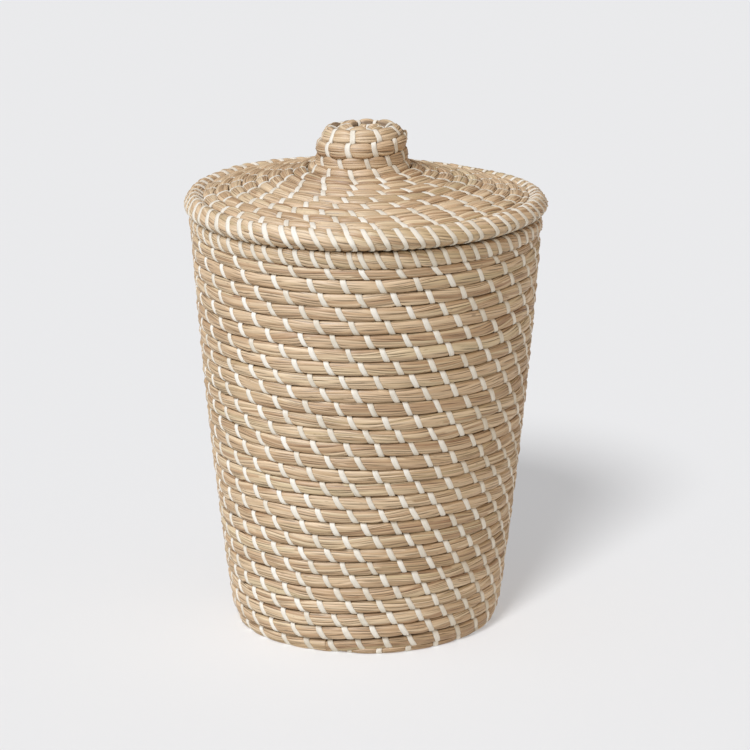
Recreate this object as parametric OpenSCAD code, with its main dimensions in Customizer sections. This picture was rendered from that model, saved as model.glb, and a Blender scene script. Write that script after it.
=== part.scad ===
// Lidded storage basket of coiled grass rope, sewn row to row with a flat white strap.
// The origin is at the centre of the ground circle, +Z is up.

/* [Basket] */
// Height of the open basket, from the ground to the top of its rim
body_h = 282.6; // [265:0.1:300]
// Outer radius of the basket at its rim
rim_r = 118; // [112:0.5:124]
// Outer radius of the basket at the ground
foot_r = 88.5; // [84:0.5:94]
// How far the wall swells outwards at half height
belly = 2.3; // [0:0.1:4]
// Coil rows in the wall, the foot row and the rim row included
wall_rows = 30; // [28:1:32]
// Thickness of the rim coil
rim_coil_d = 10.8; // [10:0.1:11.6]

/* [Floor] */
// Rows of coil in the floor around its centre disc
floor_rows = 7; // [6:1:7]
// Height of the floor's underside above the ground
floor_lift = 1.2; // [1:0.1:3]
// How far the foot row is worn flat where it stands on the ground
foot_flat = 0.5; // [0.3:0.1:0.8]

/* [Lid] */
// Thickness of the coil around the lid's edge
edge_coil_d = 12.8; // [12:0.1:13.4]
// How far the lid reaches out past the rim
lid_reach = 2.7; // [1:0.1:4]
// Coil rows in the sloping part of the lid
lid_rows = 8; // [8:1:8]
// Slope of the lid in degrees
lid_slope = 14.2; // [12:0.1:16]
// Gap between the lid and the rim that carries it
rest_gap = 0.3; // [0.3:0.1:1]
// Thickness of the locating coil under the lid
seat_coil_d = 8.4; // [7:0.1:9]
// Play of the locating coil inside the rim
seat_play = 1.8; // [1.4:0.1:3]

/* [Knob] */
// Outer radius of the knob where it is widest
knob_r = 30.3; // [29:0.1:31.5]
// Thickness of the coil around the knob's top
knob_coil_d = 10.6; // [10.2:0.1:10.8]

/* [Stitches] */
// Stitches in one row of the wall
row_stitches = 30; // [12:1:36]
// Stitches around the densely bound rim and around the lid's edge
edge_stitches = 66; // [24:1:72]
// Stitches in one row of the knob
knob_stitches = 12; // [8:1:14]
// Distance between stitches along the rope, in the floor and the lid
stitch_pitch = 19.5; // [16:0.5:24]
// Width of the strap
strap_w = 3.1; // [2:0.1:4]
// Thickness of the strap
strap_t = 0.7; // [0.4:0.1:0.8]

/* [Colours] */
// Colour of the grass coil
straw = "#CDB388"; // [#CDB388, #B89A6A, #DCC9A4]
// Colour of the sewing strap
white = "#F1EDE4"; // [#F1EDE4, #E2D9C6, #FFFFFF]

/* [Hidden] */
$fn = 48;

// Rows of one node sink this far into each other, so that they are one solid
seam = 0.15;
// Rows of different nodes stay this far apart
ease = 0.04;
// A stitch lies this far above its coil
strap_gap = 0.2;
// A stitch steps sideways by this share of the stitch spacing from one row to the next below
stitch_step = 0.42;

// ---- coil rows, each [radius of the row, height of the row] ----

// Height of one wall row: the rows share what the rim coil leaves
row_h = (body_h - rim_coil_d + foot_flat) / (wall_rows - 1);
coil_r = row_h / 2;
last_row = wall_rows - 2;

// Outer radius of the wall at the share t of its height
function wall_out(t) = foot_r + (rim_r - foot_r) * t + belly * 4 * t * (1 - t);

function wall_row(i) =
    let (z = row_h * (i + 0.5) - foot_flat)
    [wall_out(z / body_h) - coil_r, z];

rim_row = [rim_r - rim_coil_d / 2, body_h - rim_coil_d / 2];

// Floor rows run inwards from the foot row; the remainder is the centre disc
floor_z = floor_lift + coil_r;
function floor_row(i) = [wall_row(0)[0] - row_h * (i + 1), floor_z];
centre_r = floor_row(floor_rows - 1)[0] - coil_r - ease;

// The lid's edge coil rests on the rim
edge_r = edge_coil_d / 2;
edge_row = [rim_r + lid_reach - edge_r, body_h + rest_gap + edge_r];

// Sloping rows, from the outermost one beside the edge coil up to the knob
lid_coil_r = 4.7;
slope_out = [cos(lid_slope), -sin(lid_slope)];
lid_out_row = edge_row - (edge_r + lid_coil_r + ease) * [cos(18), -sin(18)];
function lid_row(i) = lid_out_row - 2 * lid_coil_r * i * slope_out;
lid_in_row = lid_row(lid_rows - 1);

// Knob rows, from its foot up to the coil around its top
knob_coil_r = knob_coil_d / 2;
knob_rows = [
    [knob_r, lid_in_row[1] + 2.2, 4.0],
    [knob_r - 4.4, lid_in_row[1] + 9.4, 4.6],
    [knob_r - 5.1, lid_in_row[1] + 18.9, 5.1]
];
knob_top_row = [knob_r - 8.4, knob_rows[2][1] + 9.95];
knob_disc_rise = 0.6;

// The locating coil hangs under the outermost sloping row, inside the rim
seat_r = seat_coil_d / 2;
seat_row_r = rim_r - rim_coil_d - seat_play - seat_r;
seat_reach = lid_coil_r + seat_r + ease;
seat_row = [seat_row_r, lid_out_row[1] - sqrt(pow(seat_reach, 2) - pow(lid_out_row[0] - seat_row_r, 2))];

// ---- building blocks ----

// One round coil row, as its section
module section(row, r) {
    translate([row[0], row[1]])
        circle(r);
}

// A closed ring of coil
module ring(row, r) {
    rotate_extrude($fn = 144)
        section(row, r);
}

// The half plane to the right of the axis, to cut sections that reach across it
module right_half(z, h) {
    translate([0, z - h])
        square([2 * rim_r, 2 * h]);
}

// Outline of a strap folded over the outside of a coil, between two angles around its section
function strap_outline(r, from, to) =
    let (steps = 2,
         step = (to - from) / steps,
         inner = (r + strap_gap) / cos(step / 2),
         outer = inner + strap_t)
    concat([for (j = [0 : steps]) inner * [cos(from + step * j), sin(from + step * j)]],
           [for (j = [steps : -1 : 0]) outer * [cos(from + step * j), sin(from + step * j)]]);

// All stitches of one row, spread evenly; turn is the angle of the first one
module stitch_row(row, r, count, turn, from, to) {
    for (k = [0 : count - 1])
        rotate([0, 0, turn + 360 / count * k])
            translate([row[0], 0, row[1]])
                rotate([90, 0, 0])
                    linear_extrude(strap_w, center = true)
                        polygon(strap_outline(r, from, to));
}

// Angle of the first stitch in the row i, counted upwards
function stitch_turn(i, count) = -stitch_step * i * 360 / count;

// Stitches in a flat or sloping row of radius r, where they keep their distance along the rope
function stitches_at(r) = max(knob_stitches, round(2 * PI * r / stitch_pitch));

// ---- basket ----

// Centre of the floor: the tight start of the coil
module floor_centre_coil() {
    rings = max(1, round(centre_r / row_h - 0.5));
    pitch = (centre_r - coil_r) / rings;
    color(straw)
        rotate_extrude($fn = 96)
            intersection() {
                right_half(floor_z, coil_r * 2);
                union() {
                    for (i = [0 : rings])
                        section([pitch * i, floor_z], i == rings ? coil_r : pitch / 2 + seam);
                }
            }
}

// Flat rows of the floor, wound around the centre
module floor_coil() {
    color(straw)
        rotate_extrude($fn = 144)
            for (i = [0 : floor_rows - 1])
                section(floor_row(i), i == 0 || i == floor_rows - 1 ? coil_r - ease : coil_r + seam);
}

// Bottom row of the wall, worn flat where it stands
module foot_coil() {
    color(straw)
        rotate_extrude($fn = 144)
            difference() {
                section(wall_row(0), coil_r);
                translate([0, -row_h])
                    square([rim_r, row_h]);
            }
}

// Rows of the wall, one long rope sewn onto itself
module wall_coil() {
    color(straw)
        rotate_extrude($fn = 144)
            for (i = [1 : last_row - 1])
                section(wall_row(i), i == 1 || i == last_row - 1 ? coil_r : coil_r + seam);
}

// Last turn of the wall rope, which thins out towards its end under the rim
module wall_coil_end() {
    row = wall_row(last_row);
    turns = 60;
    sides = 10;
    start_angle = -76;
    sweep = 350;
    // Share of the turn over which the rope thins out, and what is left of it at the tip
    thinning = 0.35;
    tip_height = 0.6;
    tip_width = 0.45;
    full = coil_r - ease;
    function share(s, tip) = tip + (1 - tip) * min(1, s / thinning);
    function point(s, a) =
        let (turn = start_angle + sweep * s,
             w = full * share(s, tip_width),
             h = full * share(s, tip_height),
             r = row[0] + w * cos(a))
        [r * cos(turn), r * sin(turn), row[1] - full + h + h * sin(a)];
    points = [for (k = [0 : turns]) for (j = [0 : sides - 1]) point(k / turns, 360 * j / sides)];
    skin = [for (k = [0 : turns - 1]) for (j = [0 : sides - 1])
        let (next = (j + 1) % sides, base = k * sides)
        [base + j, base + next, base + sides + next, base + sides + j]];
    start = [for (j = [sides - 1 : -1 : 0]) j];
    end = [for (j = [0 : sides - 1]) turns * sides + j];
    color(straw)
        polyhedron(points, concat(skin, [start, end]), convexity = 4);
}

// Thick, densely bound coil around the mouth
module rim_coil() {
    color(straw)
        ring(rim_row, rim_coil_d / 2 - ease);
}

module floor_stitches() {
    color(white)
        for (i = [0 : floor_rows - 1])
            stitch_row(floor_row(i), coil_r + seam, stitches_at(floor_row(i)[0]), 7 * i, 45, 135);
}

module wall_stitches() {
    color(white)
        for (i = [0 : last_row - 1])
            stitch_row(wall_row(i), coil_r + seam, row_stitches, stitch_turn(i, row_stitches),
                       i == 0 ? -35 : -50, 50);
}

module rim_stitches() {
    color(white)
        stitch_row(rim_row, rim_coil_d / 2, edge_stitches, 0, -50, 45);
}

// ---- lid ----

// Top of the knob: the tight start of the lid's rope and the thick row around it
module knob_top_coil() {
    inner = knob_top_row[0] - knob_coil_r;
    pitch = inner / 1.5;
    disc_z = knob_top_row[1] + knob_disc_rise;
    color(straw)
        rotate_extrude($fn = 96)
            intersection() {
                right_half(disc_z, 2 * knob_coil_r);
                union() {
                    section(knob_top_row, knob_coil_r);
                    section([pitch, disc_z], pitch / 2 + 2 * seam);
                    section([0, disc_z], pitch / 2 + 2 * seam);
                }
            }
}

// Side of the knob
module knob_side_coil() {
    color(straw)
        rotate_extrude($fn = 96)
            for (row = knob_rows)
                section(row, row[2]);
}

// Sloping rows of the lid
module lid_coil() {
    color(straw)
        rotate_extrude($fn = 144)
            for (i = [0 : lid_rows - 1])
                section(lid_row(i), i == 0 || i == lid_rows - 1 ? lid_coil_r : lid_coil_r + seam);
}

// Thick, densely bound coil around the lid
module lid_edge_coil() {
    color(straw)
        ring(edge_row, edge_r);
}

// Locating coil that keeps the lid centred in the mouth
module seat_ring_coil() {
    color(straw)
        ring(seat_row, seat_r);
}

module knob_top_stitches() {
    color(white)
        stitch_row(knob_top_row, knob_coil_r, knob_stitches, 0, -35, 95);
}

module knob_side_stitches() {
    color(white)
        for (i = [0 : len(knob_rows) - 1])
            stitch_row(knob_rows[i], knob_rows[i][2], knob_stitches, stitch_turn(i - 3, knob_stitches),
                       [-10, -26, -40][i], [40, 45, 45][i]);
}

module lid_stitches() {
    up = 90 - lid_slope;
    color(white)
        for (i = [0 : lid_rows - 1])
            stitch_row(lid_row(i), lid_coil_r + seam, stitches_at(lid_row(i)[0]),
                       -stitch_turn(i, row_stitches), up - 50, up + 48);
}

module lid_edge_stitches() {
    color(white)
        stitch_row(edge_row, edge_r, edge_stitches, 2, -50, 110);
}

module seat_ring_stitches() {
    color(white)
        stitch_row(seat_row, seat_r, row_stitches, 4, -140, -40);
}

floor_centre_coil();
floor_coil();
foot_coil();
wall_coil();
wall_coil_end();
rim_coil();
floor_stitches();
wall_stitches();
rim_stitches();
knob_top_coil();
knob_side_coil();
lid_coil();
lid_edge_coil();
seat_ring_coil();
knob_top_stitches();
knob_side_stitches();
lid_stitches();
lid_edge_stitches();
seat_ring_stitches();
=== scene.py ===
"""Lidded basket of coiled grass rope, sewn row to row with a flat white strap.

The CAD model holds plain rings and straps. Here each is dressed as what it is: a bundle of dry blades,
wound as one helix or spiral, pinched where the strap goes round it.
"""

import math

import bpy
import numpy as np
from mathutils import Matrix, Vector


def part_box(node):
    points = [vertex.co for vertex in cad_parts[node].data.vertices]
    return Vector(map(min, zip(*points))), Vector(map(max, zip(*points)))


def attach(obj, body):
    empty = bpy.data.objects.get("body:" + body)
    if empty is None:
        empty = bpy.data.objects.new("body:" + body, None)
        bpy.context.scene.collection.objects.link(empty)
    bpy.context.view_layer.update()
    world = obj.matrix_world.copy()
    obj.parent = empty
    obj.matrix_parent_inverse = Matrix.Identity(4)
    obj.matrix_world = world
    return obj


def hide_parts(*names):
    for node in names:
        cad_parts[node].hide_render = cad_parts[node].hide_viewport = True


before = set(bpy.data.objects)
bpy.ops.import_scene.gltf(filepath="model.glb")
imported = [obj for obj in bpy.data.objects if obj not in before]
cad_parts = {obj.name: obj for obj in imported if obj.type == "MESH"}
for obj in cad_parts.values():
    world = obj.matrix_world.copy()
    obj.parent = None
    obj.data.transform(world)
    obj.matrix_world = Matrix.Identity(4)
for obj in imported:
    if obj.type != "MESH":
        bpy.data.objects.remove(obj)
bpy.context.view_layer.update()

TAU = 2 * math.pi
MM = 0.001
FRONT = -math.pi / 2

# ---------------------------------------------------------------- sizes, from the frame


def ring_of(node):
    """Radius and height of the middle of a CAD ring, and half its thickness."""
    low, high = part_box(node)
    half = (high[2] - low[2]) / 2
    return high[0] - half, (low[2] + high[2]) / 2, half


rim_r, rim_z, rim_half = ring_of("rim_coil")
edge_r, edge_z, edge_half = ring_of("lid_edge_coil")
seat_r, seat_z, seat_half = ring_of("seat_ring_coil")

foot_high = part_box("foot_coil")[1]
floor_low, floor_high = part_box("floor_coil")
cone_low, cone_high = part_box("lid_coil")
knob_low, knob_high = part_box("knob_side_coil")
knob_top_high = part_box("knob_top_coil")[1]

# The wall's helix starts on the floor's last turn, left of the front, and thins out under the rim
WALL_START = FRONT - math.radians(18)
WALL_END = FRONT - math.radians(86)
WALL_TURNS = 29 + (WALL_END - WALL_START) / TAU
wall_top = rim_z - rim_half
body_h = rim_z + rim_half
row_h = wall_top / WALL_TURNS
rope_half = row_h / 2
foot_r = foot_high[0] - rope_half
# How far the wall swells outwards half way up
WALL_BELLY = 2.8 * MM
# How far the lowest turn is drawn in under the wall, and up to which height
BASE_TUCK = 2.4 * MM
TUCK_HEIGHT = 1.3 * row_h
# How much faster than on average the wall's rope climbs at its start, and the height at which that fades
CLIMB = 0.41 * row_h
CLIMB_FADE = 75 * MM
# The wall's rows tilt to and fro by this much around this height
SWAY = 3.4 * MM
SWAY_HEIGHT = 155 * MM
SWAY_SPAN = 45 * MM

# The rim droops at the back right, more and more above the height where the droop starts
DROOP = 4.2 * MM
DROOP_SIDE = math.radians(52)
DROOP_START = 190 * MM
DROOP_SPAN = 85 * MM
# The knob leans to the left. The lean sets in at the height of its foot and within its reach of the axis,
# and is nearly gone at its top
KNOB_LEAN = 2.8 * MM
KNOB_FOOT = 292 * MM
KNOB_FOOT_SPAN = 20 * MM
KNOB_REACH = 88 * MM
KNOB_REACH_SPAN = 55 * MM
KNOB_TOP = 328 * MM
KNOB_TOP_SPAN = 12 * MM
# The lid lies on the rim's straps, not flat on its rope, and stands up a little more at its front right
LID_RISE = 0.3 * MM
LID_TILT = 1.8 * MM
# Height below which the basket's underside flattens against the floor
PRESSED = 0.5 * MM


def ease_in(value):
    """Smooth step from 0 to 1."""
    value = np.clip(value, 0, 1)
    return value * value * (3 - 2 * value)


def wall_radius(z):
    """Radius of the middle of the wall's rope at the height z."""
    share = z / body_h
    outer = foot_high[0] + (rim_r + rim_half - foot_high[0]) * share
    tuck = BASE_TUCK * np.clip(1 - (z - rope_half) / TUCK_HEIGHT, 0, 1) ** 1.5
    return outer + WALL_BELLY * 4 * share * (1 - share) - rope_half - tuck


def row_floor(t):
    """Underside of the wall's rope after t turns.

    It climbs fast over its own start, then evens out and sways a little half way up."""
    level = row_h * t
    climb = CLIMB * np.sin(math.pi * (t - np.floor(t)) ** 0.57) * np.exp(-level / CLIMB_FADE)
    nearness = np.exp(-((level - SWAY_HEIGHT) / SWAY_SPAN) ** 2)
    sway = -SWAY * np.sin(TAU * t + WALL_START - FRONT) * nearness
    return np.minimum(level + climb + sway, wall_top)


def settle(points, rise, tilt):
    """The whole basket's irregularities: its rim droops at the back right, its knob leans left.

    rise is how high the thing lies on lumps of the coil under it, and tilt how much higher still at its
    front right."""
    x, y, z = points[..., 0], points[..., 1], points[..., 2]
    reach = np.hypot(x, y)
    droop = np.clip(np.cos(np.arctan2(y, x) - DROOP_SIDE), 0, 1) ** 2 * reach / rim_r
    sunk = z - DROOP * droop * ease_in((z - DROOP_START) / DROOP_SPAN)
    level = sunk + rise + tilt * np.clip((x - y) / (math.sqrt(2) * rim_r), 0, 1)
    # What would reach below the floor is pressed flat on it
    flat = np.where(level < PRESSED, PRESSED * np.exp(np.minimum(level / PRESSED - 1, 0)), level)
    knob = ease_in((z - KNOB_FOOT) / KNOB_FOOT_SPAN) * ease_in((KNOB_REACH - reach) / KNOB_REACH_SPAN)
    lean = KNOB_LEAN * knob * (1 - 0.9 * ease_in((z - KNOB_TOP) / KNOB_TOP_SPAN))
    return np.stack([x - lean, y, flat], -1)


# ---------------------------------------------------------------- ropes

# Blades in a rope's section
BLADES = 19
# Where the columns of points sit across one blade: the first is the gap beside it, the others are its crest
ACROSS = np.array([0.0, 0.24, 0.76])
# Each blade's width, twist, standing, tilt and gap sway along the rope, with waves this short to this long
WIDTH_WAVES = (70 * MM, 300 * MM)
TWIST_WAVES = (120 * MM, 500 * MM)
STAND_WAVES = (40 * MM, 220 * MM)
TILT_WAVES = (60 * MM, 250 * MM)
GAP_WAVES = (25 * MM, 160 * MM)
# How much a blade stands out or lies deep, how much one side stands over the other, and the gap's depth
STAND = 0.17 * MM
TILT = 0.13 * MM
GAP = 0.46 * MM
GAP_SWAY = 0.28 * MM
GAP_LIMITS = (0.08 * MM, 1.1 * MM)
# A gap this deep is painted fully dark, as painted shade in the gap
GAP_FULL_SHADE = 0.75 * MM
# How long blades are between their ends, how deep an end lies, and over what length
BLADE_LENGTHS = (150 * MM, 420 * MM)
END_DIP = 0.3 * MM
END_SPAN = 2.2 * MM
# The share of blades that stand up before their ends, how high, how far before the end, and over what length
LOOSE_SHARE = 0.3
LOOSE_LIFT = 0.65 * MM
LOOSE_PLACE = 3 * MM
LOOSE_SPAN = 2.5 * MM
# How wide a blade is in the pattern of its material
GRAIN_WIDTH = 1.6 * MM
# How square a rope's section is: 2 is an ellipse
SQUARE = 3.1
# Below this radius the stitches stand straighter
STEEP_RADIUS = 35 * MM
# How deep a stitch pinches the rope, how far the rope swells between stitches, and how wide the groove is
PINCH_DEPTH = 0.65 * MM
BULGE = 0.25 * MM
GROOVE = 2.5 * MM
# At an open rope's ends the grid's rows turn upright over this length
END_RUN = 12 * MM
# Where the grid's rows lie between one stitch and the next
ROW_SHARES = np.array([0, 0.05, 0.10, 0.16, 0.26, 0.38, 0.50, 0.62, 0.74, 0.84, 0.90, 0.95])


def waves(rng, count, length, shortest, longest, parts=4):
    """Smooth noise along a rope, one track per blade, that closes on itself after the rope's length.

    Returns a function of the place along the rope."""
    low = max(1, int(length / longest))
    high = max(low + 1, int(length / shortest))
    number = rng.integers(low, high + 1, (parts, count))
    phase = rng.uniform(0, TAU, (parts, count))
    size = rng.uniform(0.5, 1.0, (parts, count))
    size /= np.sqrt((size ** 2).sum(0) / 2)

    def at(s):
        track = np.zeros((len(s), count))
        for part in range(parts):
            track += size[part] * np.sin(TAU * number[part] * s[:, None] / length + phase[part])
        return track

    return at


def steps(rng, count, length, shortest, longest):
    """A value from 0 to 1 for each blade, that changes where one blade ends and the next begins.

    Returns a function of the place along the rope. It gives the value, the distance to the nearest change,
    and how loose the blade is that ends ahead."""
    cuts = []
    for _ in range(count):
        number = max(2, int(length / rng.uniform(shortest, longest)))
        cut = np.sort(rng.uniform(0, length, number))
        cuts.append((cut, rng.uniform(0, 1, number)))

    def at(s):
        value = np.zeros((len(s), count))
        away = np.zeros((len(s), count))
        loose = np.zeros((len(s), count))
        for k, (cut, level) in enumerate(cuts):
            place = np.searchsorted(cut, s)
            value[:, k] = level[place % len(cut)]
            after = np.abs(np.append(cut, cut[0] + length)[place] - s)
            before = np.abs(s - np.append(cut[-1] - length, cut)[place])
            away[:, k] = np.minimum(after, before)
            springs = np.mod(value[:, k] * 7, 1) < LOOSE_SHARE
            loose[:, k] = springs * np.exp(-((after - LOOSE_PLACE) / LOOSE_SPAN) ** 2)
        return value, away, loose

    return at


class Rope:
    """A sewn rope. Its middle is given step by step as an angle, a radius and a height.

    lean is the direction of its outer side in the section through the axis; half_out and half_up are its
    half thickness in that direction and across it. turns counts the turns wound so far, on an open rope.
    """

    def __init__(self, seed, turn, radius, height, lean, half_out, half_up, turns=None, closed=False):
        self.rng = np.random.default_rng(seed)
        self.turn, self.radius, self.height = turn, radius, height
        self.lean, self.half_out, self.half_up = lean, half_out, half_up
        self.turns = turns
        self.closed = closed
        # The lower ends of stitches lie to the right, whichever way the rope runs
        self.way = 1 if turn[-1] < turn[0] else -1
        self.pinch_depth = PINCH_DEPTH
        self.bulge = BULGE
        self.rise = 0.0
        self.tilt = 0.0
        # Beyond this place the rope's upper side is bare, with no painted seam shade along it
        self.bare_after = math.inf
        around = np.diff(turn) * (radius[1:] + radius[:-1]) / 2
        leap = np.hypot(around, np.hypot(np.diff(radius), np.diff(height)))
        self.s = np.append(0, np.cumsum(leap))
        self.length = self.s[-1]

    def sew(self, places, advance, jitter, width):
        """Sets the stitches, near the given places along the rope.

        Each advances along the rope from its top to its bottom. jitter is how uneven their spacing is."""
        rng = self.rng
        self.gap = np.median(np.diff(places))
        self.places = np.sort(places + rng.normal(0, jitter, len(places)) * self.gap)
        # Stitches stand straighter where the rope turns tightly
        self.advance = advance * np.clip(self.radius / STEEP_RADIUS, 0.3, 1)
        self.slants = np.interp(self.places, self.s, self.advance) * rng.normal(1, 0.1, len(places))
        self.widths = width * rng.normal(1, 0.06, len(places))

    def rows(self):
        """Places of the grid's rows along the rope: one under every stitch, and others close beside it."""
        if self.closed:
            knots = np.append(self.places, self.places[0] + self.length)
        else:
            extra = np.arange(self.places[-1] + self.gap, self.length - 0.3 * self.gap, self.gap)
            knots = np.concatenate([[0], self.places, extra, [self.length]])
        rows = (knots[:-1, None] + np.diff(knots)[:, None] * ROW_SHARES).ravel()
        return rows if self.closed else np.append(rows, self.length)

    def slanted(self, s, phi):
        """Places of a row's points along the rope, when the row slants like the stitches do."""
        slant = np.interp(s, self.s, self.advance)
        if not self.closed:
            slant = slant * np.clip(s / END_RUN, 0, 1) * np.clip((self.length - s) / END_RUN, 0, 1)
        return s[:, None] + self.drift(phi) * slant[:, None]

    def drift(self, phi):
        """How far a stitch has drifted along the rope at the angle phi, as a share of its advance."""
        down = (1 - np.sin(phi)) / 2
        return self.way * (0.5 - (0.45 * down + 0.55 * down ** 1.6))

    def skin(self, s, phi, lift, pinch, snug=0.0):
        """Points at a height above the rope's smooth skin. pinch is 0 on the free rope, 1 under a stitch.

        With snug at 1 the skin isn't pinched beside its neighbour rows, as a strap fills the seam there."""
        at = s % self.length if self.closed else np.clip(s, 0, self.length)
        turn, radius, height, lean, half_out, half_up = (
            np.interp(at, self.s, track)
            for track in (self.turn, self.radius, self.height, self.lean, self.half_out, self.half_up))
        thin = np.minimum(half_up, half_out) / rope_half
        give = self.bulge * (1 - pinch) - self.pinch_depth * pinch * np.clip(thin, 0.2, 1)
        swell = (np.abs(np.cos(phi)) ** SQUARE + np.abs(np.sin(phi)) ** SQUARE) ** (-1 / SQUARE)
        out = (half_out + give + lift) * np.cos(phi) * swell
        up = (half_up + give * (1 - snug) + lift) * np.sin(phi) * swell
        r = radius + out * np.cos(lean) - up * np.sin(lean)
        z = height + out * np.sin(lean) + up * np.cos(lean)
        return settle(np.stack([r * np.cos(turn), r * np.sin(turn), z], -1), self.rise, self.tilt)

    def pinch(self, s, phi):
        """How hard the nearest stitch pinches the rope there, from 0 to 1."""
        advance = np.interp(s % self.length if self.closed else s, self.s, self.advance)
        at = s - self.drift(phi) * advance
        places = self.places
        if self.closed:
            at = at % self.length
            places = np.concatenate([places - self.length, places, places + self.length])
        near = np.clip(np.searchsorted(places, at), 1, len(places) - 1)
        away = np.minimum(np.abs(at - places[near - 1]), np.abs(at - places[near]))
        groove = np.exp(-(away / GROOVE) ** 3)
        waist = np.exp(-(away / (0.3 * self.gap)) ** 2)
        return np.clip(0.72 * groove + 0.28 * waist, 0, 1)


def signed_volume(points, faces, caps):
    """Volume inside the faces; negative when they look inwards."""
    total = 0.0
    for first, second, third in ((0, 1, 2), (0, 2, 3)):
        a, b, c = (points[faces[:, k]] for k in (first, second, third))
        total += np.einsum("ij,ij->", a, np.cross(b, c))
    for cap in caps:
        a, b, c = points[cap[0]], points[cap[1:-1]], points[cap[2:]]
        total += (a * np.cross(b, c)).sum()
    return total / 6


def mesh_piece(name, points, faces, caps, values, material):
    """A smooth mesh from quads and end caps, with its values at the points."""
    if signed_volume(points, faces, caps) < 0:
        faces = faces[:, ::-1]
        caps = [cap[::-1] for cap in caps]
    mesh = bpy.data.meshes.new(name)
    mesh.vertices.add(len(points))
    mesh.vertices.foreach_set("co", np.asarray(points, np.float32).ravel())
    corners = np.concatenate([faces.ravel(), *caps]).astype(np.int32)
    sizes = np.array([4] * len(faces) + [len(c) for c in caps], np.int32)
    mesh.loops.add(len(corners))
    mesh.loops.foreach_set("vertex_index", corners)
    mesh.polygons.add(len(sizes))
    mesh.polygons.foreach_set("loop_start", np.append(0, np.cumsum(sizes)[:-1]).astype(np.int32))
    mesh.polygons.foreach_set("use_smooth", sizes == 4)
    mesh.update(calc_edges=True)
    mesh.validate()
    for key, value in values.items():
        kind = "FLOAT_VECTOR" if value.ndim == 2 else "FLOAT"
        layer = mesh.attributes.new(key, kind, "POINT")
        layer.data.foreach_set("vector" if value.ndim == 2 else "value", value.astype(np.float32).ravel())
    piece = bpy.data.objects.new(name, mesh)
    bpy.context.scene.collection.objects.link(piece)
    mesh.materials.append(material)
    return piece


def grid_faces(rows, columns, wrap_rows):
    """Quads of a tube: columns go around it, rows along it, and with wrap_rows back to its start."""
    row = np.arange(rows if wrap_rows else rows - 1)[:, None]
    column = np.arange(columns)[None, :]
    after = (column + 1) % columns
    next_row = (row + 1) % rows
    return np.stack([row * columns + column, row * columns + after,
                     next_row * columns + after, next_row * columns + column], -1).reshape(-1, 4)


def blade_angles(rope, s):
    """Angles around the rope of each blade's columns. Blades differ in width, and twist slowly."""
    rng = rope.rng
    width = 1 + 0.3 * waves(rng, BLADES, rope.length, *WIDTH_WAVES)(s)
    width = np.clip(width, 0.35, 2)
    twist = 0.22 * waves(rng, 1, rope.length, *TWIST_WAVES)(s) + TAU * 3 * s[:, None] / rope.length
    part = width / width.sum(1)[:, None]
    end = np.cumsum(width, 1) / width.sum(1)[:, None]
    start = np.concatenate([np.zeros((len(s), 1)), end[:, :-1]], 1)
    return (start[:, :, None] + part[:, :, None] * ACROSS) * TAU + twist[:, :, None]


def blade_lifts(rope, s):
    """How far each blade's columns stand out, with the blades' shades and the depths of the gaps."""
    rng = rope.rng
    shade, away, loose = steps(rng, BLADES, rope.length, *BLADE_LENGTHS)(s)
    stand = STAND * waves(rng, BLADES, rope.length, *STAND_WAVES)(s)
    stand = stand - END_DIP * np.exp(-(away / END_SPAN) ** 2) + LOOSE_LIFT * loose
    tilt = TILT * waves(rng, BLADES, rope.length, *TILT_WAVES)(s)
    gap = GAP + GAP_SWAY * waves(rng, BLADES, rope.length, *GAP_WAVES)(s)
    gap = np.clip(gap, *GAP_LIMITS)
    return np.stack([-gap, stand - tilt, stand + tilt], -1), shade, gap


def blade_points(rope):
    """All points of a rope made of blades, as a grid, with the values that its material reads."""
    s = rope.rows()
    columns = len(ACROSS)
    count = (len(s), BLADES * columns)
    phi = blade_angles(rope, s).reshape(count)
    lift, shade, gap = blade_lifts(rope, s)
    lift = lift.reshape(count)
    along = rope.slanted(s, phi)
    pinch = rope.pinch(along, phi)
    thin = np.clip(np.interp(along, rope.s, rope.half_up) / rope_half, 0.15, 1)
    points = rope.skin(along, phi, lift * (1 - 0.45 * pinch) * thin, pinch)

    # Painted shade: the rope's sides that touch the rows above and below are darkened, as shade in the seams
    # between rows; a bound ring has none
    seam = ease_in((np.abs(np.sin(phi)) - 0.79) / 0.12) * (0.0 if rope.closed else 1.0)
    seam = np.where((along > rope.bare_after) & (np.sin(phi) > 0), 0, seam)
    # Painted shade in the gaps between blades: the deeper a gap, the darker its column
    crest_unshaded = np.ones(count)
    crest_unshaded[:, ::columns] = np.clip(1 - gap / GAP_FULL_SHADE, 0, 1)
    tone = np.repeat(shade, columns, 1)
    blade = (np.arange(BLADES)[:, None] + ACROSS * 0.8).ravel()
    grain = np.stack([along, np.broadcast_to(blade * GRAIN_WIDTH, count), tone], -1)
    return points, {"tone": tone, "crest_unshaded": crest_unshaded, "seam": seam, "grain": grain}


def rope_pieces(name, rope, nodes, body, cuts):
    """Makes a rope as pieces cut at the given rows of its grid, one for each of the nodes they stand for."""
    points, values = blade_points(rope)
    columns = points.shape[1]
    for number, (node, (first, last)) in enumerate(zip(nodes, cuts)):
        rows = slice(first, last if rope.closed else last + 1)
        block = points[rows]
        count = len(block)
        faces = grid_faces(count, columns, rope.closed)
        caps = []
        if not rope.closed:
            caps = [np.arange(columns)[::-1], (count - 1) * columns + np.arange(columns)]
        flat = {key: value[rows].reshape((-1,) + value.shape[2:]) for key, value in values.items()}
        label = name if len(cuts) == 1 else f"{name}_{number + 1:02d}"
        piece = mesh_piece(label, block.reshape(-1, 3), faces, caps, flat, grass)
        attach(piece, body)
        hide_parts(node)


# A strap's section: how far across it, and how high above the rope, each point is
STRAP_ACROSS = np.array([-1.0, -1.0, -0.5, 0.0, 0.5, 1.0, 1.0, 0.0])
STRAP_HIGH = np.array([-0.5, 0.85, 1.0, 1.04, 1.0, 0.85, -0.5, -0.7])
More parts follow.
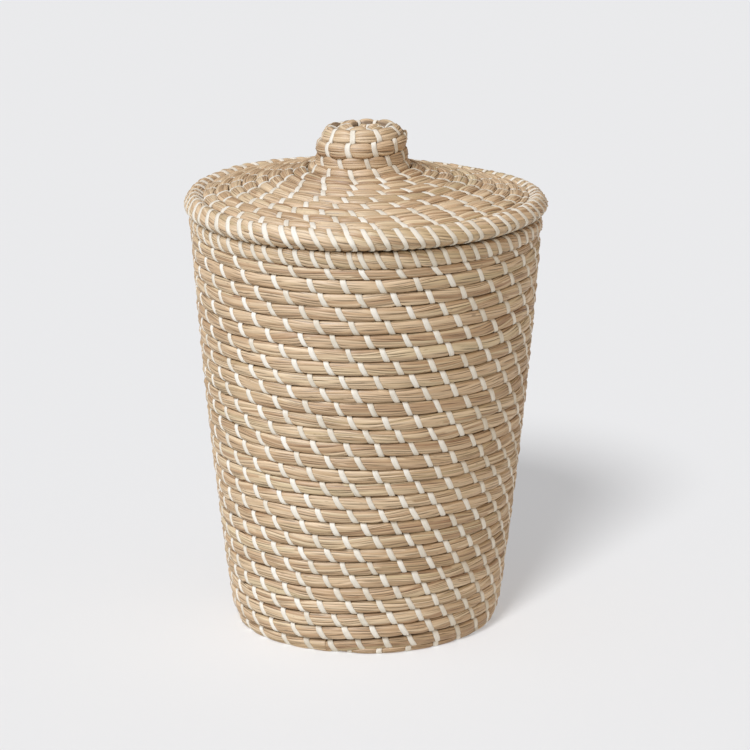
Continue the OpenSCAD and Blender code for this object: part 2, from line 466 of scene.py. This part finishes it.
# The faces between these columns are the strap's two cut edges, which stay sharp
STRAP_EDGES = (0, 5)
STRAP_STATIONS = 30
STRAP_THICK = 0.55 * MM
# The whitest tone of straps on the rim and the lid, kept low as painted shade that tones down the strong
# light on their upward faces
SHADED_STRAP_WHITEST = 0.4


def strap_loops(name, rope, chosen, node, body, whitest_tone=1.0):
    """The chosen stitches as flat closed straps around the rope, joined into one piece.

    The last argument is the whitest tone that a strap may have; below 1 it darkens the straps as painted
    shade."""
    rng = np.random.default_rng(len(chosen) * 7 + len(name))
    phi = np.linspace(0, TAU, STRAP_STATIONS, endpoint=False) + math.pi / 2
    points = []
    values = {"tone": [], "grain": []}
    for k in chosen:
        drift = rope.drift(phi) * rope.slants[k]
        angle = np.arctan(np.gradient(drift, phi, edge_order=2) / rope_half)
        # The strap narrows a little where it dives into the lower seam
        down = np.clip(-np.sin(phi), 0, 1)
        half = rope.widths[k] / 2 * (1 - 0.08 * down ** 2)
        wobble = 1 + 0.05 * np.sin(3 * phi + rng.uniform(0, TAU))
        across = STRAP_ACROSS[None, :] * (half * wobble)[:, None]
        s = rope.places[k] + drift[:, None] + across * np.cos(angle)[:, None]
        turned = phi[:, None] - across * np.sin(angle)[:, None] / (rope_half * 1.05)
        high = np.broadcast_to(STRAP_HIGH * STRAP_THICK, across.shape)
        points.append(rope.skin(s, turned, high, 1.0, snug=1.0).reshape(-1, 3))
        # Each strap's tone is random up to the cap; a cap below 1 darkens the straps as painted shade
        values["tone"].append(np.full(high.size, rng.uniform(0, whitest_tone)))
        run = np.broadcast_to(phi[:, None] * rope_half, high.shape)
        values["grain"].append(np.stack([run, across, np.full(high.shape, k * 0.37)], -1).reshape(-1, 3))
    columns = len(STRAP_ACROSS)
    one = grid_faces(STRAP_STATIONS, columns, True)
    size = STRAP_STATIONS * columns
    faces = np.concatenate([one + size * number for number in range(len(points))])
    flat = {key: np.concatenate(value) for key, value in values.items()}
    piece = mesh_piece(name, np.concatenate(points), faces, (), flat, strap)
    sides = np.isin(np.arange(len(faces)) % columns, STRAP_EDGES)
    piece.data.polygons.foreach_set("use_smooth", ~sides)
    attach(piece, body)
    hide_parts(node)


# ---------------------------------------------------------------- materials


class Graph:
    """A material with one principled shader, and short names for the nodes that feed it."""

    def __init__(self, name):
        self.material = bpy.data.materials.new(name)
        self.material.use_nodes = True
        self.tree = self.material.node_tree
        self.tree.nodes.clear()
        self.shader = self.tree.nodes.new("ShaderNodeBsdfPrincipled")
        out = self.tree.nodes.new("ShaderNodeOutputMaterial")
        self.tree.links.new(self.shader.outputs[0], out.inputs["Surface"])

    def put(self, socket, value):
        """Links another node's output to a socket, or sets the socket to a number."""
        if isinstance(value, bpy.types.NodeSocket):
            self.tree.links.new(value, socket)
        else:
            socket.default_value = value

    def attribute(self, name, output="Fac"):
        """A value that the mesh carries at its points."""
        node = self.tree.nodes.new("ShaderNodeAttribute")
        node.attribute_name = name
        return node.outputs[output]

    def math(self, operation, a, b):
        """Arithmetic on two values."""
        node = self.tree.nodes.new("ShaderNodeMath")
        node.operation = operation
        self.put(node.inputs[0], a)
        self.put(node.inputs[1], b)
        return node.outputs[0]

    def noise(self, vector, scale, detail=2.0, roughness=0.5):
        """Noise whose grain is as fine in each direction as scale says, in cycles to a metre."""
        stretch = self.tree.nodes.new("ShaderNodeVectorMath")
        stretch.operation = "MULTIPLY"
        self.put(stretch.inputs[0], vector)
        stretch.inputs[1].default_value = scale
        node = self.tree.nodes.new("ShaderNodeTexNoise")
        self.put(node.inputs["Vector"], stretch.outputs[0])
        node.inputs["Scale"].default_value = 1.0
        node.inputs["Detail"].default_value = detail
        node.inputs["Roughness"].default_value = roughness
        return node.outputs["Fac"]

    def ramp(self, value, stops):
        """Colours between stops. Each stop is a place from 0 to 1 and a colour, in any order."""
        node = self.tree.nodes.new("ShaderNodeValToRGB")
        self.put(node.inputs[0], value)
        elements = node.color_ramp.elements
        for number, (place, color) in enumerate(stops):
            element = elements[number] if number < 2 else elements.new(place)
            element.position = place
            element.color = (*color, 1)
        return node.outputs["Color"]

    def gray(self, value):
        """A value from 0 to 1 as a shade of gray."""
        return self.ramp(value, [(0.0, (0, 0, 0)), (1.0, (1, 1, 1))])

    def remap(self, value, low, high, to_low, to_high):
        """Moves a value from one range to another, and holds it there."""
        node = self.tree.nodes.new("ShaderNodeMapRange")
        self.put(node.inputs["Value"], value)
        for key, number in (("From Min", low), ("From Max", high), ("To Min", to_low), ("To Max", to_high)):
            node.inputs[key].default_value = number
        return node.outputs["Result"]

    def mix(self, blend, factor, a, b):
        """Blends the colour b into the colour a."""
        node = self.tree.nodes.new("ShaderNodeMix")
        node.data_type = "RGBA"
        node.blend_type = blend
        self.put(node.inputs["Factor"], factor)
        self.put(node.inputs[6], a)
        self.put(node.inputs[7], b)
        return node.outputs[2]

    def bump(self, height, strength, distance):
        """Fine relief on the surface, deep by the distance at most."""
        node = self.tree.nodes.new("ShaderNodeBump")
        node.inputs["Strength"].default_value = strength
        node.inputs["Distance"].default_value = distance
        self.put(node.inputs["Height"], height)
        self.put(self.shader.inputs["Normal"], node.outputs[0])


def grass_material():
    """Dry blades: each its own shade of straw, streaked along its length, with painted shade in the gaps
    between blades and in the seams between rows.
    """
    g = Graph("grass_rope")
    grain = g.attribute("grain", "Vector")
    tone = g.attribute("tone")
    fine = g.noise(grain, (45, 2600, 9), 3.0, 0.6)
    blotch = g.noise(grain, (26, 260, 40), 3.0, 0.6)
    broad = g.noise(grain, (5, 60, 3))
    shade = g.math("ADD", g.math("MULTIPLY", tone, 0.62), g.math("MULTIPLY", blotch, 0.62))
    shade = g.math("SUBTRACT", shade, 0.12)
    color = g.ramp(shade, [
        (0.0, (0.200, 0.094, 0.036)),
        (1.0, (0.775, 0.595, 0.385)),
        (0.16, (0.380, 0.222, 0.108)),
        (0.36, (0.505, 0.334, 0.180)),
        (0.55, (0.600, 0.420, 0.246)),
        (0.76, (0.665, 0.495, 0.302)),
    ])
    green = g.remap(broad, 0.52, 0.72, 0.0, 0.35)
    color = g.mix("MIX", green, color, (0.56, 0.50, 0.27, 1))
    streak = g.remap(fine, 0.3, 0.7, 0.80, 1.14)
    color = g.mix("MULTIPLY", 1.0, color, g.gray(streak))
    fleck = g.noise(grain, (160, 1100, 5), 1.0)
    color = g.mix("MIX", g.remap(fleck, 0.70, 0.78, 0.0, 0.6), color, (0.20, 0.11, 0.05, 1))
    # Painted shade in the gaps between blades, darker the deeper the gap
    gap_shade = g.remap(g.attribute("crest_unshaded"), 0.0, 0.8, 0.85, 0.0)
    color = g.mix("MIX", gap_shade, color, (0.090, 0.043, 0.014, 1))
    # Painted shade in the seams between rows: the rope's sides that touch its neighbours turn dark brown
    seam = g.math("MULTIPLY", g.attribute("seam"), 0.72)
    color = g.mix("MIX", seam, color, (0.100, 0.048, 0.016, 1))
    g.put(g.shader.inputs["Base Color"], color)
    g.put(g.shader.inputs["Roughness"], g.remap(fine, 0.3, 0.7, 0.45, 0.68))
    g.shader.inputs["Specular IOR Level"].default_value = 0.8
    height = g.math("ADD", g.math("MULTIPLY", fine, 0.7), g.math("MULTIPLY", blotch, 0.3))
    g.bump(height, 0.55, 0.25 * MM)
    return g.material


def strap_material():
    """Flat off-white strap: faint lengthwise ribs, a little yellowed and dusty in places, and darker on the
    rim and the lid as painted shade.
    """
    g = Graph("white_strap")
    grain = g.attribute("grain", "Vector")
    tone = g.attribute("tone")
    rib = g.noise(grain, (120, 2600, 3), 2.0, 0.55)
    patch = g.noise(grain, (180, 180, 4))
    shade = g.math("ADD", g.math("MULTIPLY", tone, 0.5), g.math("MULTIPLY", patch, 0.5))
    color = g.ramp(shade, [
        (0.2, (0.655, 0.580, 0.455)),
        (0.85, (0.845, 0.795, 0.695)),
        (0.5, (0.790, 0.732, 0.620)),
    ])
    color = g.mix("MULTIPLY", 1.0, color, g.gray(g.remap(rib, 0.3, 0.7, 0.88, 1.06)))
    g.put(g.shader.inputs["Base Color"], color)
    g.put(g.shader.inputs["Roughness"], g.remap(rib, 0.3, 0.7, 0.5, 0.7))
    g.shader.inputs["Specular IOR Level"].default_value = 0.25
    g.bump(rib, 0.4, 0.15 * MM)
    return g.material


def floor_material():
    """A pale, dull studio floor."""
    g = Graph("pale_floor")
    g.shader.inputs["Base Color"].default_value = (0.775, 0.785, 0.80, 1)
    g.shader.inputs["Roughness"].default_value = 0.9
    g.shader.inputs["Specular IOR Level"].default_value = 0.1
    return g.material


grass = grass_material()
strap = strap_material()

# ---------------------------------------------------------------- the courses of the ropes

STRAP_W = 3.5 * MM
EDGE_STRAP_W = 3.0 * MM
# Stitches in a turn of the wall, around the rim and the lid's edge, and around the seat ring
WALL_STITCHES = 30.42
EDGE_STITCHES = 66
SEAT_STITCHES = 34
# How far each area's stitches advance along the rope from top to bottom
WALL_ADVANCE = 4.9 * MM
FLOOR_ADVANCE = 4.2 * MM
LID_ADVANCE = 4.6 * MM
RIM_ADVANCE = 5.4 * MM
LID_EDGE_ADVANCE = 7.6 * MM
SEAT_ADVANCE = 4 * MM
# Steps of the courses: the length of one on a ring, and the number in one turn of each open rope
RING_STEP = 1.7 * MM
WALL_STEPS = 365
FLOOR_STEPS = 290
LID_STEPS = 330
# Over how many steps the corners of a course are rounded off
WALL_SMOOTH = 25
LID_SMOOTH = 81
# No stitch lies nearer to the end of a spiral than this, and to the end of the lid's rope
FREE_END = 6 * MM
LID_FREE_END = 40 * MM
# The distance between stitches on the lid's slope: at its start, how it grows, and at most
SLOPE_GAP = 17 * MM
SLOPE_GAP_GROWTH = 0.4 * MM
SLOPE_GAP_MOST = 19.6 * MM
# How far the outer side of the foot's rope faces down, in degrees
FOOT_LEAN = 24
# Of the floor's last turn, this much lies over the wall's start, so that no gap opens between them
OVERLAP = 1.0 * MM
# The lid's spiral: its number of turns, those of them on the knob, and its end beside the edge coil,
# far to the left of the front
LID_TURNS = 14 + 1 / 6
KNOB_TURNS = 6
LID_END = FRONT - math.radians(60)


def smooth(track, span):
    """Rounds off the corners of a track, keeping its ends."""
    kernel = np.ones(span) / span
    before = 2 * track[0] - track[1:span][::-1]
    after = 2 * track[-1] - track[-span:-1][::-1]
    run = np.convolve(np.concatenate([before, track, after]), kernel, "same")
    return run[span - 1:span - 1 + len(track)]


def squeezed(share):
    """How thick a rope is in one direction, as a share, where the other is squeezed to the given share."""
    return 0.4 + 0.6 * np.clip(share, 0, 1) ** 0.7


def ring_rope(seed, radius, height, half, lean, stitches, advance, jitter=0.03):
    """A closed ring of rope, bound by evenly spread stitches."""
    count = int(round(TAU * radius / RING_STEP))
    turn = FRONT - np.linspace(0, TAU, count + 1)
    flat = np.ones(count + 1)
    tracks = (track * flat for track in (radius, height, lean, half, half))
    rope = Rope(seed, turn, *tracks, closed=True)
    rope.sew(np.arange(stitches) * rope.length / stitches, advance, jitter, EDGE_STRAP_W)
    return rope


def helix_rope(seed):
    """The wall's rope: it climbs from the floor's last turn, and thins out under the rim."""
    t = np.linspace(0, WALL_TURNS - 0.02, int(WALL_TURNS * WALL_STEPS))
    low = smooth(row_floor(t), WALL_SMOOTH)
    high = smooth(row_floor(t + 1), WALL_SMOOTH)
    height = (low + high) / 2
    half_up = (high - low) / 2
    half_out = rope_half * squeezed(half_up / rope_half)
    slope = math.degrees(math.atan2(rim_r - foot_r, body_h))
    at_foot = np.clip(1 - (height - rope_half) / TUCK_HEIGHT, 0, 1)
    lean = np.radians(-slope - (FOOT_LEAN - slope) * at_foot)
    rope = Rope(seed, WALL_START + TAU * t, wall_radius(height), height, lean, half_out, half_up, t)
    marks = np.arange(0.01, WALL_TURNS - 0.25, 1 / WALL_STITCHES)
    rope.sew(np.interp(marks, t, rope.s), WALL_ADVANCE, 0.035, STRAP_W)
    return rope


def floor_rope(seed):
    """The floor's rope: a flat spiral from the centre out to where the wall's helix goes on."""
    turns = (wall_radius(rope_half) + rope_half) / row_h
    t = np.linspace(0.03, turns, int(turns * FLOOR_STEPS))
    # The last turn comes out from behind the wall's first one at once, and pushes the others outwards too
    share = np.mod(t - turns, 1)
    bulge = 2.2 * MM * np.exp(-((share - 0.05) / 0.07) ** 2)
    bulge = bulge - 2.4 * MM * np.exp(-((share - 0.21) / 0.08) ** 2)
    spread = (row_h * (1 - share) + bulge) * (1 - np.exp(-share / 0.02)) / turns
    outer = (row_h + spread) * t
    inner = np.maximum(0, (row_h + spread) * (t - 1))
    half_up = (outer - inner) / 2
    # It is as thick as the wall's rope leaves room for, but at its start, which the wall's rope hides
    last_turn = np.clip(t - turns + 1, 0, 1)
    hidden = (row_h - OVERLAP) * np.exp(-last_turn / 0.018)
    top = np.minimum(row_h, row_floor(last_turn) + OVERLAP + hidden)
    top = np.where(last_turn > 0, top, row_h)
    half_out = top / 2 * squeezed(half_up / rope_half)
    # The floor's inner turns lie higher than the foot, and the last one comes down to it and leans outwards
    lift = (floor_low[2] + floor_high[2]) / 2 - rope_half
    height = top / 2 + lift * (1 - ease_in(t - turns + 2))
    lean = np.radians(-90 + (90 - FOOT_LEAN) * ease_in((t - turns + 0.6) / 0.6))
    turn = WALL_START + TAU * (t - turns)
    rope = Rope(seed, turn, (inner + outer) / 2, height, lean, half_out, half_up, t)
    rope.sew(stitch_run(rope, 0.35, 8.5 * MM, 19.5 * MM, 2.2), FLOOR_ADVANCE, 0.05, STRAP_W)
    rope.bare_after = np.interp(turns - 1, t, rope.s)
    return rope


def stitch_run(rope, first, near, far, widen):
    """Places of stitches along a spiral. Their distance grows from near to far over its first turns."""
    places = [np.interp(first, rope.turns, rope.s)]
    while True:
        now = np.interp(places[-1], rope.s, rope.turns)
        gap = near + (far - near) * min(1, now / widen)
        if places[-1] + gap > rope.length - FREE_END:
            return np.array(places)
        places.append(places[-1] + gap)


def knob_rows():
    """Rows of the knob, where they start: turn, radius, height, half thickness, and lean in degrees."""
    disc_z = knob_top_high[2] - 7.6 * MM
    top_r = knob_top_high[0] - 5.1 * MM
    top_z = knob_top_high[2] - 7.2 * MM
    side_r = knob_high[0] - 4 * MM
    foot_z = knob_low[2] + 4 * MM
    return np.array([
        (0.0, 0.0, disc_z, 4.6 * MM, 90),
        (1.0, 10.6 * MM, disc_z, 5.4 * MM, 90),
        (2.0, top_r, top_z, 5.2 * MM, 30),
        (3.0, side_r - 5.0 * MM, foot_z + 18.6 * MM, 5.3 * MM, 4),
        (4.0, side_r - 4.6 * MM, foot_z + 9.2 * MM, 4.8 * MM, 2),
        (5.0, side_r - 1.6 * MM, foot_z + 1.6 * MM, 4.5 * MM, 30),
    ])


def lid_rope(seed):
    """The lid's rope: a spiral disc on top of the knob, down its side, and out over the slope."""
    cone_slope = math.atan2(cone_high[2] - cone_low[2] - 9.4 * MM, cone_high[0] - knob_high[0] - 10 * MM)
    # The slope starts beside the knob's foot and ends at the edge coil's inner side
    start_r = knob_high[0] + 0.3 * MM
    end_r = edge_r - edge_half * 0.96
    end_z = edge_z + edge_half * 0.32
    pitch = (end_r - start_r) / math.cos(cone_slope) / (LID_TURNS - KNOB_TURNS)
    t = np.linspace(0.05, LID_TURNS - 0.04, int(LID_TURNS * LID_STEPS))
    # Distances from the slope's end up to the two sides of the row
    outer = np.maximum(0, pitch * (LID_TURNS - 1 - t))
    inner = pitch * (LID_TURNS - t)
    middle = (inner + outer) / 2
    cone_r = end_r - middle * math.cos(cone_slope)
    cone_z = end_z + middle * math.sin(cone_slope)
    on_cone = t >= KNOB_TURNS
    join = [np.interp(KNOB_TURNS, t, track) for track in (cone_r, cone_z)]
    rows = np.vstack([knob_rows(), (KNOB_TURNS, *join, pitch / 2, 90 - math.degrees(cone_slope))])
    radius, height, half, lean = (np.interp(t, rows[:, 0], rows[:, k]) for k in (1, 2, 3, 4))
    radius = np.where(on_cone, cone_r, radius)
    height = np.where(on_cone, cone_z, height)
    half_up = np.where(on_cone, (inner - outer) / 2, half) * np.clip(0.35 + t, 0, 1)
    half_out = np.where(on_cone, pitch / 2 * squeezed((inner - outer) / pitch), half)
    half_out = half_out * np.clip(0.45 + t, 0, 1)
    radius, height, lean = (smooth(track, LID_SMOOTH) for track in (radius, height, lean))
    turn = LID_END + TAU * (LID_TURNS - t)
    rope = Rope(seed, turn, np.maximum(radius, 0), height, np.radians(lean), half_out, half_up, t)
    sew_lid(rope)
    return rope


def sew_lid(rope):
    """Stitches of the lid's rope: the knob's are close together, those on the slope get further apart."""
    # The knob's places come from a first sewing of the whole rope
    rope.sew(stitch_run(rope, 0.3, 7 * MM, 15 * MM, 1.6), LID_ADVANCE, 0.03, STRAP_W)
    cone_start = np.interp(5.6, rope.turns, rope.s)
    places = [place for place in rope.places if place < cone_start]
    gap = SLOPE_GAP
    while places[-1] + gap < rope.length - LID_FREE_END:
        places.append(places[-1] + gap)
        gap = min(gap + SLOPE_GAP_GROWTH, SLOPE_GAP_MOST)
    rope.sew(np.array(places), LID_ADVANCE, 0.03, STRAP_W)
    # The knob's straps are narrower than the lid's
    rope.widths *= np.clip(0.84 + 0.16 * (rope.places - cone_start) / (900 * MM), 0.82, 1)


# ---------------------------------------------------------------- the basket and its lid


def cut_turns(rope, marks):
    """Row ranges of a rope's grid between the given turns, each cut under the nearest stitch."""
    per_stitch = len(ROW_SHARES)
    turn = np.interp(rope.rows(), rope.s, rope.turns)
    index = [per_stitch * round(int(np.searchsorted(turn, mark)) / per_stitch) for mark in marks]
    index[0], index[-1] = 0, len(turn) - 1
    return list(zip(index[:-1], index[1:]))


def between(rope, first, last):
    """Numbers of the stitches that lie between two turns of a rope."""
    low, high = np.interp([first, last], rope.turns, rope.s)
    return [k for k in range(len(rope.places)) if low <= rope.places[k] < high]


def build_wall():
    """The wall's rope, in pieces of four turns, and its stitches."""
    wall = helix_rope(11)
    marks = [0, *range(4, 25, 4), WALL_TURNS - 1, WALL_TURNS]
    nodes = ["wall_coil"] * (len(marks) - 2) + ["wall_coil_end"]
    rope_pieces("wall_rope", wall, nodes, "basket", cut_turns(wall, marks))
    for number, first in enumerate(range(0, 29, 4)):
        chosen = between(wall, first, min(first + 4, WALL_TURNS))
        strap_loops(f"wall_stitches_{number + 1:02d}", wall, chosen, "wall_stitches", "basket")


def build_floor():
    """The floor's rope, whose last turn is the foot, and its stitches."""
    base = floor_rope(14)
    turns = base.turns[-1]
    nodes = ("floor_centre_coil", "floor_coil", "floor_coil", "foot_coil")
    rope_pieces("floor_rope", base, nodes, "basket", cut_turns(base, [0, 2, 5.5, turns - 1, turns]))
    strap_loops("floor_stitches", base, between(base, 0, turns - 1), "floor_stitches", "basket")
    strap_loops("foot_stitches", base, between(base, turns - 1, turns), "floor_stitches", "basket")


def build_ring(name, rope, body, whitest_tone):
    """A ring of rope and its stitches, which stand for the CAD nodes of the same name."""
    rope_pieces(name + "_rope", rope, [name + "_coil"], body, [(0, len(rope.rows()))])
    strap_loops(name + "_stitches", rope, range(len(rope.places)), name + "_stitches", body, whitest_tone)


def lay_on_rim(rope):
    """Lets a rope of the lid lie as the whole lid does."""
    rope.rise = LID_RISE
    rope.tilt = LID_TILT


def build_lid_spiral():
    """The lid's rope, from the knob to the edge, and its stitches."""
    lid = lid_rope(21)
    lay_on_rim(lid)
    lid.pinch_depth = 1.1 * MM
    lid.bulge = 0.5 * MM
    marks = [0, 2.5, 5.5, 10.5, lid.turns[-1]]
    nodes = ("knob_top_coil", "knob_side_coil", "lid_coil", "lid_coil")
    rope_pieces("lid_rope", lid, nodes, "lid", cut_turns(lid, marks))
    names = ("knob_top_stitches", "knob_side_stitches", "lid_stitches_1", "lid_stitches_2")
    for name, first, last in zip(names, marks[:-1], marks[1:]):
        node = "lid_stitches" if name.startswith("lid_stitches") else name
        strap_loops(name, lid, between(lid, first, last), node, "lid", SHADED_STRAP_WHITEST)


def build_basket():
    """Everything that belongs to the body basket."""
    build_wall()
    rim = ring_rope(13, rim_r, rim_z, rim_half, math.radians(-4), EDGE_STITCHES, RIM_ADVANCE, 0.06)
    build_ring("rim", rim, "basket", SHADED_STRAP_WHITEST)
    build_floor()


def build_lid():
    """Everything that belongs to the body lid."""
    build_lid_spiral()
    edge = ring_rope(22, edge_r, edge_z, edge_half, math.radians(35), EDGE_STITCHES, LID_EDGE_ADVANCE, 0.07)
    lay_on_rim(edge)
    build_ring("lid_edge", edge, "lid", SHADED_STRAP_WHITEST)
    seat = ring_rope(23, seat_r, seat_z, seat_half, math.radians(-60), SEAT_STITCHES, SEAT_ADVANCE)
    lay_on_rim(seat)
    build_ring("seat_ring", seat, "lid", 1.0)


build_basket()
build_lid()

# ---------------------------------------------------------------- room, light and camera

FLOOR_SIZE = 30.0
WORLD_COLOR = (1, 0.93, 0.86, 1)
WORLD_STRENGTH = 0.27
CAMERA_DISTANCE = 3.5
CAMERA_RISE = math.radians(15.26)
CAMERA_LENS = 248.9
CAMERA_SENSOR = 36
# The point that the camera looks at: a little right of the axis, half way up
LOOK_AT = (0.0061, 0.0, 0.1693)


def build_room():
    """A plain floor, flat and wide."""
    mesh = bpy.data.meshes.new("pale_floor")
    half = FLOOR_SIZE / 2
    corners = [(-half, -half, 0), (half, -half, 0), (half, half, 0), (-half, half, 0)]
    mesh.from_pydata(corners, [], [(0, 1, 2, 3)])
    floor = bpy.data.objects.new("pale_floor", mesh)
    bpy.context.scene.collection.objects.link(floor)
    mesh.materials.append(floor_material())
    return floor


def aim(thing, target):
    """Turns a light or camera towards a point."""
    x, y, z = (target[k] - thing.location[k] for k in range(3))
    thing.rotation_euler = (math.atan2(math.hypot(x, y), -z), 0, math.atan2(-x, y))


def sun_light(name, azimuth, rise, spread, strength, color=(1, 1, 1)):
    """A distant soft light, with its angles in degrees. Azimuth is counted from the camera to the left."""
    data = bpy.data.lights.new(name, "SUN")
    data.energy = strength
    data.angle = math.radians(spread)
    data.color = color
    light = bpy.data.objects.new(name, data)
    left = math.radians(azimuth)
    up = math.radians(rise)
    light.location = (-math.sin(left) * math.cos(up), -math.cos(left) * math.cos(up), math.sin(up))
    aim(light, (0, 0, 0))
    bpy.context.scene.collection.objects.link(light)
    return light


def shine_only_on(light, things):
    """Limits a light to these things, so that the floor's soft shadow can be set on its own."""
    group = bpy.data.collections.new(light.name + "_receivers")
    for thing in things:
        group.objects.link(thing)
    light.light_linking.receiver_collection = group


def build_world():
    """Soft light from all around, and plain colours."""
    world = bpy.data.worlds.new("studio")
    world.use_nodes = True
    background = world.node_tree.nodes["Background"]
    background.inputs["Color"].default_value = WORLD_COLOR
    background.inputs["Strength"].default_value = WORLD_STRENGTH
    bpy.context.scene.world = world
    bpy.context.scene.view_settings.view_transform = "Standard"


def build_light(floor):
    """The basket's lights: the main one at the left, the room's warm bounce at the right, and a weak one in
    front. The floor has its own main light, which gives the shadow, and a fill without one."""
    things = [thing for thing in bpy.context.scene.objects if thing.type == "MESH" and thing != floor]
    shine_only_on(sun_light("key", 48, 50, 35, 2.95, (0.93, 1.0, 1.15)), things)
    shine_only_on(sun_light("bounce", -80, 30, 40, 0.50, (1.0, 0.76, 0.56)), things)
    shine_only_on(sun_light("front", 18, 32, 30, 0.62), things)
    shine_only_on(sun_light("floor_key", 14.5, 42, 14, 2.0), [floor])
    fill = sun_light("floor_fill", 0, 80, 40, 1.25, (0.96, 0.98, 1.02))
    fill.data.use_shadow = False
    shine_only_on(fill, [floor])


def build_camera():
    """A long lens from the front, a little above, so that verticals stay nearly parallel."""
    data = bpy.data.cameras.new("view")
    data.lens = CAMERA_LENS
    data.sensor_width = CAMERA_SENSOR
    camera = bpy.data.objects.new("view", data)
    back = CAMERA_DISTANCE * math.cos(CAMERA_RISE)
    above = CAMERA_DISTANCE * math.sin(CAMERA_RISE)
    camera.location = (LOOK_AT[0], LOOK_AT[1] - back, LOOK_AT[2] + above)
    aim(camera, LOOK_AT)
    bpy.context.scene.collection.objects.link(camera)
    bpy.context.scene.camera = camera


build_world()
build_light(build_room())
build_camera()
